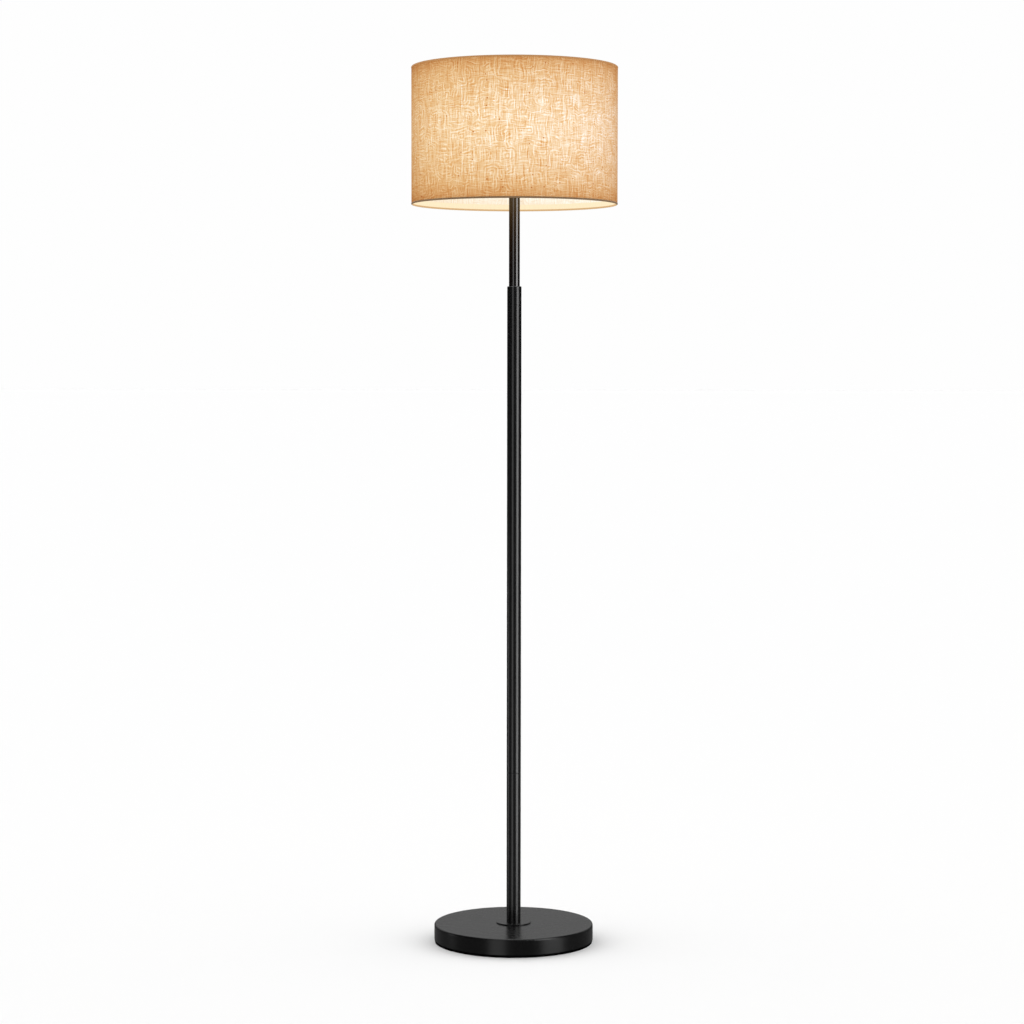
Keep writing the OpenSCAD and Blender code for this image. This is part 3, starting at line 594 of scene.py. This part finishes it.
linenLook = {
    "light": (1.003, 0.818, 0.562),  # what comes through at the bulb's height
    "strength": 0.97,  # of the weave
    "redPower": 0.5,
    "tintPowers": (0.33, 2.1),  # how red and blue follow the light that one strand lets by
    "edgeTint": (0.835, 0.76, 0.68),  # the cloth's thickness, seen more and more from the side
    "paintedDaylightLean": 0.38,  # painted daylight: the glow turns bluer to the right, per metre, for daylight falling from that side
    "cloth": (0.25, 0.21, 0.15),
    "clothDark": (0.17, 0.13, 0.08),
    "gap": (0.13, 0.085, 0.04),
    "gapShare": 0.5,
    "seed": (0.07, 0.04, 0.018),
    "seedShare": 0.8,
    "rough": (0.92, 0.84),  # between the strands and on them
    "bump": 0.35,
    "depth": 0.0003,
    "shine": 0.15,
}


def makeLinen(name, look):
    material, tree, shader = startMaterial(name)
    cloth = tree.nodes.new("ShaderNodeUVMap")
    cloth.uv_map = "cloth"
    weave = useGroup(tree, strandWeave, Cloth=cloth.outputs["UV"], Strength=look["strength"])
    # painted light: the bulb's light through the cloth is drawn as emission
    glow = useGroup(tree, lampGlow)
    red, green, blue = look["light"]
    light = useGroup(tree, warmLight, Level=glow["Level"], Red=red, Green=green, Blue=blue,
                     RedPower=look["redPower"])
    tint = useGroup(tree, warmLight, Level=weave["Through"],
                    RedPower=look["tintPowers"][0], BluePower=look["tintPowers"][1])
    # painted daylight: the glow's blue rises to the right, for daylight falling from that side
    across = splitAxes(tree, objectPlace(tree))[0]
    cool = calc(tree, "ADD", calc(tree, "MULTIPLY", across, look["paintedDaylightLean"]), 1.0)
    leant = blendColour(tree, 1.0, light["Colour"], joinAxes(tree, 1.0, 1.0, cool), "MULTIPLY")
    through = blendColour(tree, 1.0, leant, tint["Colour"], "MULTIPLY")
    feed(tree, shader["Emission Color"], through)
    shader["Emission Strength"].default_value = 1.0
    tintRim(shader, look["edgeTint"])
    surface = blendColour(tree, weave["Bright"], look["clothDark"], look["cloth"])
    gap = calc(tree, "MULTIPLY", weave["Gap"], look["gapShare"])
    surface = blendColour(tree, gap, surface, look["gap"])
    speck = calc(tree, "MULTIPLY", weave["Speck"], look["seedShare"])
    feed(tree, shader["Base Color"], blendColour(tree, speck, surface, look["seed"]))
    feed(tree, shader["Roughness"], remap(tree, weave["Bright"], 0.0, 1.0, *look["rough"]))
    feed(tree, shader["Normal"], bumpFrom(tree, weave["Height"], look["bump"], look["depth"]))
    shader["Specular IOR Level"].default_value = look["shine"]
    return material


linerLook = {
    "light": (0.9, 0.88, 0.82),
    "film": (0.2, 0.18, 0.14),
    "gap": (0.17, 0.153, 0.119),  # the film over a gap in the linen
    "weave": 0.3,
    "spread": 0.32,
    "rim": 0.92,
    "radius": 0.1788,  # the film's middle
    "rough": (0.55, 0.45),
    "shine": 0.3,
}


def makeLiner(name, look):
    # white film behind the linen, through which the cloth shows a little; the bulb's light on it is
    # painted into its emission
    material, tree, shader = startMaterial(name)
    axes = splitAxes(tree, objectPlace(tree))
    around = calc(tree, "MULTIPLY", angleFrom(tree, axes), look["radius"])
    cloth = joinAxes(tree, around, axes[2], 0.0)
    weave = useGroup(tree, strandWeave, Cloth=cloth, Strength=look["weave"])
    glow = useGroup(tree, lampGlow, Spread=look["spread"], Rim=look["rim"])
    level = calc(tree, "MULTIPLY", glow["Level"], weave["Through"])
    red, green, blue = look["light"]
    light = useGroup(tree, warmLight, Level=level, Red=red, Green=green, Blue=blue)
    feed(tree, shader["Emission Color"], light["Colour"])
    shader["Emission Strength"].default_value = 1.0
    feed(tree, shader["Base Color"], blendColour(tree, weave["Gap"], look["film"], look["gap"]))
    feed(tree, shader["Roughness"], remap(tree, weave["Bright"], 0.0, 1.0, *look["rough"]))
    shader["Specular IOR Level"].default_value = look["shine"]
    return material


lowerTapeLook = {
    "dark": (0.13, 0.08, 0.042),
    "light": (0.2, 0.13, 0.073),
    "outside": (0.05, 0.025, 0.009),  # painted light that comes through the rolled tape
    "inside": (0.55, 0.36, 0.17),  # painted light on its side that faces the bulb
    "tuck": (0.95, 0.82, 0.57),  # painted light through the single layer folded over inside
    "rim": lowerRim,
    "innerFrom": (0.1779, 0.1789),  # radii between which the inner side ends
    "tuckFrom": (0.0026, 0.0036),  # how far from the rim the single layer starts
    "rows": 1900.0,  # ribs in one turn
    "fibre": 900.0,
    "rough": (0.75, 0.95),
    "shade": (0.86, 1.08),
    "bump": 0.5,
    "depth": 0.0002,
    "shine": 0.2,
}
topTapeLook = dict(lowerTapeLook, dark=(0.15, 0.09, 0.045), light=(0.25, 0.16, 0.09),
                   outside=(0.32, 0.14, 0.035), rim=topRim)


def makeTape(name, look):
    # ribbed linen tape rolled round the shade's wires and glued inside
    material, tree, shader = startMaterial(name)
    axes = splitAxes(tree, objectPlace(tree))
    turn = calc(tree, "MULTIPLY", angleFrom(tree, axes), look["rows"])
    ribs = remap(tree, calc(tree, "SINE", turn), -1.0, 1.0, 0.0, 1.0)
    fibre = useGroup(tree, fineGrain, Scale=look["fibre"], Contrast=2.0,
                     Low=look["rough"][0], High=look["rough"][1])
    mixed = calc(tree, "MULTIPLY", calc(tree, "ADD", ribs, fibre["Mask"]), 0.5)
    feed(tree, shader["Base Color"], blendColour(tree, mixed, look["dark"], look["light"]))
    feed(tree, shader["Roughness"], fibre["Value"])
    feed(tree, shader["Normal"], bumpFrom(tree, mixed, look["bump"], look["depth"]))
    inner = remap(tree, outwardFrom(tree, axes), *look["innerFrom"], 1.0, 0.0, smooth=True)
    fromRim = calc(tree, "ABSOLUTE", calc(tree, "SUBTRACT", axes[2], look["rim"]))
    tucked = remap(tree, fromRim, *look["tuckFrom"], 0.0, 1.0, smooth=True)
    # painted light: the emission stands in for the bulb's light through the tape and on its inner
    # side
    rolled = blendColour(tree, inner, look["outside"], look["inside"])
    glow = blendColour(tree, calc(tree, "MULTIPLY", tucked, inner), rolled, look["tuck"])
    shade = remap(tree, mixed, 0.0, 1.0, *look["shade"])
    shade = joinAxes(tree, shade, shade, shade)
    feed(tree, shader["Emission Color"], blendColour(tree, 1.0, glow, shade, "MULTIPLY"))
    shader["Emission Strength"].default_value = 1.0
    shader["Specular IOR Level"].default_value = look["shine"]
    return material


opalLook = {
    "bright": (1.0, 0.85, 0.75),
    "soft": (1.0, 0.78, 0.61),
    "strength": 0.98,
    "rim": (0.955, 0.86, 0.7),  # the glow goes warmer towards the dome's outline
    "dark": (0.26, 0.25, 0.23),
    "light": (0.34, 0.33, 0.31),
    "frost": 70.0,
    "rough": (0.25, 0.35),
    "bump": 0.05,
    "depth": 0.0002,
}


def makeOpal(name, look):
    # frosted dome, softer near its seam with the body
    material, tree, shader = startMaterial(name)
    frost = useGroup(tree, fineGrain, Scale=look["frost"], Contrast=1.2,
                     Low=look["rough"][0], High=look["rough"][1])
    up = splitAxes(tree, objectPlace(tree))[2]
    clear = remap(tree, up, *heightsOf("bulb_dome"), 0.0, 1.0)
    feed(tree, shader["Emission Color"], blendColour(tree, clear, look["soft"], look["bright"]))
    shader["Emission Strength"].default_value = look["strength"]
    tintRim(shader, look["rim"])
    feed(tree, shader["Base Color"], blendColour(tree, frost["Mask"], look["dark"], look["light"]))
    feed(tree, shader["Roughness"], frost["Value"])
    feed(tree, shader["Normal"], bumpFrom(tree, frost["Mask"], look["bump"], look["depth"]))
    return material


phosphorLook = {
    "dark": (0.8, 0.5, 0.05),
    "light": (0.9, 0.62, 0.1),
    "dim": (1.0, 0.7, 0.3),
    "bright": (1.0, 0.85, 0.5),
    "strength": 3.0,
    "grain": 1500.0,
    "rough": (0.3, 0.45),
}


def makePhosphor(name, look):
    material, tree, shader = startMaterial(name)
    gel = useGroup(tree, fineGrain, Scale=look["grain"], Contrast=1.4,
                   Low=look["rough"][0], High=look["rough"][1])
    feed(tree, shader["Base Color"], blendColour(tree, gel["Mask"], look["dark"], look["light"]))
    feed(tree, shader["Roughness"], gel["Value"])
    glow = blendColour(tree, gel["Mask"], look["dim"], look["bright"])
    feed(tree, shader["Emission Color"], glow)
    shader["Emission Strength"].default_value = look["strength"]
    return material


slotMaterials = {
    "black_coat": makeCoated("blackTubeCoat", blackTube),
    "black_slide": makeCoated("blackSlideCoat", blackSlide),
    "white_wire": makeCoated("whiteWireEnamel", whiteEnamel),
    "zinc": makeTurned("zincPlating", zincPlate),
    "plate_steel": makeTurned("closingPlateSteel", closingPlate),
    "blackened_steel": makeTurned("oiledSteel", oiledSteel),
    "brass": makeTurned("turnedBrass", turnedBrass),
    "nickel": makeTurned("nickelSkin", nickelSkin),
    "contact": makeTurned("solderDot", solderDot),
    "led_plate": makeTurned("lightBoardMetal", boardMetal),
    "foam": makeMoulded("padFoam", softFoam),
    "nylon": makeMoulded("slideNylon", slideNylon),
    "black_rubber": makeMoulded("outletRubber", moistRubber),
    "lead_jacket": makeMoulded("leadSkin", leadSkin),
    "core_sleeve": makeMoulded("coreSkin", coreSkin),
    "black_plastic": makeMoulded("holderPlastic", holderPlastic),
    "ceramic": makeMoulded("firedClay", firedClay),
    "white_plastic": makeMoulded("bulbPlastic", bulbPlastic),
    "board": makeMoulded("circuitBoard", circuitBoard),
    "concrete": makeConcrete("rawConcrete", rawConcrete),
    "linen": makeLinen("shadeLinen", linenLook),
    "liner": makeLiner("shadeFilm", linerLook),
    "edging": makeTape("lowerTape", lowerTapeLook),
    "opal": makeOpal("bulbOpal", opalLook),
    "phosphor": makePhosphor("chipPhosphor", phosphorLook),
}
coverCoat = makeCoated("blackCoverCoat", blackCover)
ownMaterials = {
    "base_cover": coverCoat,
    "foot_flange": coverCoat,
    "top_edging": makeTape("topTape", topTapeLook),
}
print("finishes made:", len(slotMaterials) + len(ownMaterials))


def dressNodes():
    for part in frame["record"]["subparts"]:
        node = nodes[part["node"]]
        finish = ownMaterials.get(part["node"], slotMaterials[part["material_slot"]])
        for place in node.material_slots:
            place.material = finish


dressNodes()
print("nodes dressed")


leadLook = {
    "radius": 0.0025,
    "coilRadius": 0.008,
    "low": heightsOf("coiled_lead")[0],
    "high": heightsOf("coiled_lead")[1],
    "straight": 0.006,  # at each end
    "turns": 24,
    "widen": 0.75,  # turns in which the coil opens out
    "steps": 20,  # rings in one turn
    "sides": 12,
}


def easeIn(x):
    x = min(max(x, 0.0), 1.0)
    return x * x * (3.0 - 2.0 * x)


def leadCourse(look):
    pitch = (look["high"] - look["low"] - 2.0 * look["straight"]) / look["turns"]
    coilLow = look["low"] + look["straight"]
    points = [Vector((0.0, 0.0, look["low"]))]
    for step in range(look["turns"] * look["steps"] + 1):
        turn = step / look["steps"]
        wide = easeIn(turn / look["widen"]) * easeIn((look["turns"] - turn) / look["widen"])
        reach = look["coilRadius"] * wide
        angle = 2.0 * math.pi * turn
        height = coilLow + pitch * turn
        points.append(Vector((reach * math.cos(angle), reach * math.sin(angle), height)))
    points.append(Vector((0.0, 0.0, look["high"])))
    return points


def sweepTube(name, points, radius, sides):
    shape = bmesh.new()
    rings = []
    for index, point in enumerate(points):
        ahead = points[min(index + 1, len(points) - 1)]
        behind = points[max(index - 1, 0)]
        course = (ahead - behind).normalized()
        outward = Vector((point.x, point.y, 0.0))
        if outward.length < 1e-6:
            outward = Vector((1.0, 0.0, 0.0))
        up = course.cross(outward).normalized()
        side = up.cross(course).normalized()
        ring = []
        for k in range(sides):
            angle = 2.0 * math.pi * k / sides
            away = math.cos(angle) * side + math.sin(angle) * up
            ring.append(shape.verts.new(point + radius * away))
        rings.append(ring)
    for lower, upper in zip(rings, rings[1:]):
        for k in range(sides):
            after = (k + 1) % sides
            shape.faces.new((lower[k], lower[after], upper[after], upper[k]))
    shape.faces.new(list(reversed(rings[0])))
    shape.faces.new(rings[-1])
    bmesh.ops.recalc_face_normals(shape, faces=shape.faces)
    mesh = bpy.data.meshes.new(name)
    shape.to_mesh(mesh)
    shape.free()
    mesh.shade_smooth()
    piece = bpy.data.objects.new(name, mesh)
    bpy.context.scene.collection.objects.link(piece)
    return piece


coilLead = sweepTube("coilLead", leadCourse(leadLook), leadLook["radius"], leadLook["sides"])
coilLead.data.materials.append(slotMaterials["lead_jacket"])
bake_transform(coilLead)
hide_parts("coiled_lead")
print("coiled lead made")


sheetLook = {
    "thickness": 0.0005,
    "low": heightsOf("linen_cover")[0],
    "high": heightsOf("linen_cover")[1],
    "lap": 0.012,
    "lapStep": 0.00042,
    "climb": (2.2, 1.3),  # where the last end starts and stops climbing, in laps from it
    "columns": 540,
    "rows": 30,
}


def makeLinenSheet(look):
    middle = reachOf("linen_cover") - 0.5 * look["thickness"]
    length = 2.0 * math.pi * middle + look["lap"]
    height = look["high"] - look["low"]
    climbStart, climbStop = (length - laps * look["lap"] for laps in look["climb"])
    shape = bmesh.new()
    chart = shape.loops.layers.uv.new("cloth")
    grid = []
    for column in range(look["columns"] + 1):
        run = length * column / look["columns"]
        # the last end climbs over the first one at the back
        lapped = easeIn((run - climbStart) / (climbStop - climbStart))
        radius = middle + look["lapStep"] * lapped
        angle = (run - 0.5 * look["lap"]) / middle + 0.5 * math.pi
        x = radius * math.cos(angle)
        y = radius * math.sin(angle)
        grid.append([shape.verts.new((x, y, look["low"] + height * row / look["rows"]))
                     for row in range(look["rows"] + 1)])
    for column in range(look["columns"]):
        for row in range(look["rows"]):
            face = shape.faces.new((grid[column][row], grid[column + 1][row],
                                    grid[column + 1][row + 1], grid[column][row + 1]))
            for loop, (right, up) in zip(face.loops, ((0, 0), (1, 0), (1, 1), (0, 1))):
                loop[chart].uv = (length * (column + right) / look["columns"],
                                  look["low"] + height * (row + up) / look["rows"])
    mesh = bpy.data.meshes.new("linenShade")
    shape.to_mesh(mesh)
    shape.free()
    mesh.shade_smooth()
    piece = bpy.data.objects.new("linenShade", mesh)
    bpy.context.scene.collection.objects.link(piece)
    thick = piece.modifiers.new("clothThickness", "SOLIDIFY")
    thick.thickness = look["thickness"]
    thick.offset = 0.0
    return piece, (height, length)


linenShade, linenCut = makeLinenSheet(sheetLook)
linenShade.data.materials.append(slotMaterials["linen"])
for lit in (linenShade, nodes["shade_liner"], nodes["lower_edging"], nodes["top_edging"]):
    lit.visible_glossy = False  # the pole's gloss shows the room right up into the shade
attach(linenShade, "upper_part")
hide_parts("linen_cover")
print("linen shade made")


stageLook = {
    "white": 0.991,  # the pale ground that the camera sees
    "floorShade": 0.9,
    "reach": 200.0,
}


def makeFloor(look):
    shape = bmesh.new()
    corners = [shape.verts.new((x * look["reach"], y * look["reach"], 0.0))
               for x, y in ((-1, -1), (1, -1), (1, 1), (-1, 1))]
    shape.faces.new(corners)
    mesh = bpy.data.meshes.new("paleFloor")
    shape.to_mesh(mesh)
    shape.free()
    floor = bpy.data.objects.new("paleFloor", mesh)
    bpy.context.scene.collection.objects.link(floor)
    material, _, shader = startMaterial("paleFloor")
    shader["Base Color"].default_value = (look["floorShade"],) * 3 + (1.0,)
    shader["Roughness"].default_value = 1.0
    shader["Specular IOR Level"].default_value = 0.0
    mesh.materials.append(material)
    floor.visible_glossy = False
    floor.visible_shadow = False


# a direction's height is its z: 0 at the horizon, 1 straight up
roomLook = {
    "level": 0.852,
    "overhead": (0.2, 0.6),  # heights between which the light from above sets in
    "backLean": 0.9,  # the light from above comes more from the back
    "sideLight": 4.0,  # low light from both sides
    "sideTop": 0.8,
    "behind": (0.3, 0.7),  # gloss shows the sky from here backward
    "front": 0.05,  # and this share of it in front
    "topmost": (0.88, 0.93),  # but all of it straight above
    "low": 0.05,  # and below this height
    "gleamRange": (-0.2, 1.0),
    "gleam": (  # place in that range, and how bright gloss shows it
        (0.0, 0.15),
        (0.125, 0.02),
        (0.167, 0.004),
        (0.215, 0.004),
        (0.25, 0.32),
        (0.35, 0.35),
        (0.5, 0.65),
        (0.667, 1.2),
        (0.833, 1.8),
        (1.0, 2.6),
    ),
}


def makeRoomLight(look, stage):
    world = bpy.data.worlds.new("paleRoom")
    bpy.context.scene.world = world
    world.use_nodes = True
    world.cycles.sampling_method = "NONE"
    tree = world.node_tree
    tree.nodes.clear()
    toward = splitAxes(tree, tree.nodes.new("ShaderNodeTexCoord").outputs["Generated"])
    leaning = calc(tree, "ADD", calc(tree, "MULTIPLY", toward[1], look["backLean"]), 1.0)
    overhead = remap(tree, toward[2], *look["overhead"], 0.0, 1.0, smooth=True)
    overhead = calc(tree, "MULTIPLY", overhead, leaning)
    lowDown = remap(tree, toward[2], 0.0, look["sideTop"], look["sideLight"], 0.0)
    sideways = calc(tree, "MULTIPLY", lowDown, calc(tree, "MULTIPLY", toward[0], toward[0]))
    above = calc(tree, "GREATER_THAN", toward[2], 0.0)
    level = calc(tree, "MULTIPLY", above, look["level"] * stage["white"] / stage["floorShade"])
    room = calc(tree, "MULTIPLY", calc(tree, "ADD", overhead, sideways), level)
    stops = [(place, (bright,) * 3) for place, bright in look["gleam"]]
    sky = colourRamp(tree, remap(tree, toward[2], *look["gleamRange"], 0.0, 1.0), stops)
    behind = remap(tree, toward[1], *look["behind"], look["front"], 1.0, smooth=True)
    topmost = remap(tree, toward[2], *look["topmost"], 0.0, 1.0, smooth=True)
    low = calc(tree, "LESS_THAN", toward[2], look["low"])
    shown = calc(tree, "MAXIMUM", calc(tree, "MAXIMUM", behind, topmost), low)
    gleam = blendColour(tree, 1.0, sky, joinAxes(tree, shown, shown, shown), "MULTIPLY")
    path = tree.nodes.new("ShaderNodeLightPath").outputs
    unseen = blendColour(tree, path["Is Diffuse Ray"], gleam, joinAxes(tree, room, room, room))
    seen = blendColour(tree, path["Is Camera Ray"], unseen, (stage["white"],) * 3)
    background = tree.nodes.new("ShaderNodeBackground")
    feed(tree, background.inputs["Color"], seen)
    output = tree.nodes.new("ShaderNodeOutputWorld")
    tree.links.new(background.outputs[0], output.inputs["Surface"])


stripLooks = {
    # bearing is in degrees from the front, turning to the right
    "rightStrip": {"bearing": 57.0, "width": 1.5, "low": -0.43, "high": 3.0, "radiance": 3.95},
    "leftStrip": {"bearing": -23.0, "width": 1.0, "low": -1.5, "high": 3.0, "radiance": 1.15},
    "farLeftStrip": {"bearing": -97.0, "width": 0.55, "low": -0.36, "high": 0.42,
                     "radiance": 1.5},
}


def makeStrip(name, look, distance=2.5):
    # a tall soft strip that only shows as a line of gloss on the tubes
    data = bpy.data.lights.new(name, "AREA")
    data.shape = "RECTANGLE"
    data.size = look["width"]
    data.size_y = look["high"] - look["low"]
    data.energy = look["radiance"] * math.pi * data.size * data.size_y
    strip = bpy.data.objects.new(name, data)
    bpy.context.scene.collection.objects.link(strip)
    bearing = math.radians(look["bearing"])
    height = 0.5 * (look["high"] + look["low"])
    strip.location = (distance * math.sin(bearing), -distance * math.cos(bearing), height)
    strip.rotation_euler = Euler((math.radians(90.0), 0.0, bearing))
    strip.visible_diffuse = False
    strip.visible_camera = False


bulbLook = {"colour": (1.0, 0.72, 0.42), "power": 0.45, "size": 0.026, "below": 0.03}


def makeBulbLight(look):
    dome = nodes["bulb_dome"]
    data = bpy.data.lights.new("bulbLight", "POINT")
    data.color = look["colour"]
    data.energy = look["power"]
    data.shadow_soft_size = look["size"]
    light = bpy.data.objects.new("bulbLight", data)
    bpy.context.scene.collection.objects.link(light)
    light.location = (0.0, 0.0, heightsOf("bulb_dome")[1] - look["below"])
    light.parent = dome
    light.visible_camera = False
    dome.visible_shadow = False


makeFloor(stageLook)
makeRoomLight(roomLook, stageLook)
for stripName, stripLook in stripLooks.items():
    makeStrip(stripName, stripLook)
makeBulbLight(bulbLook)
print("floor and lights placed")
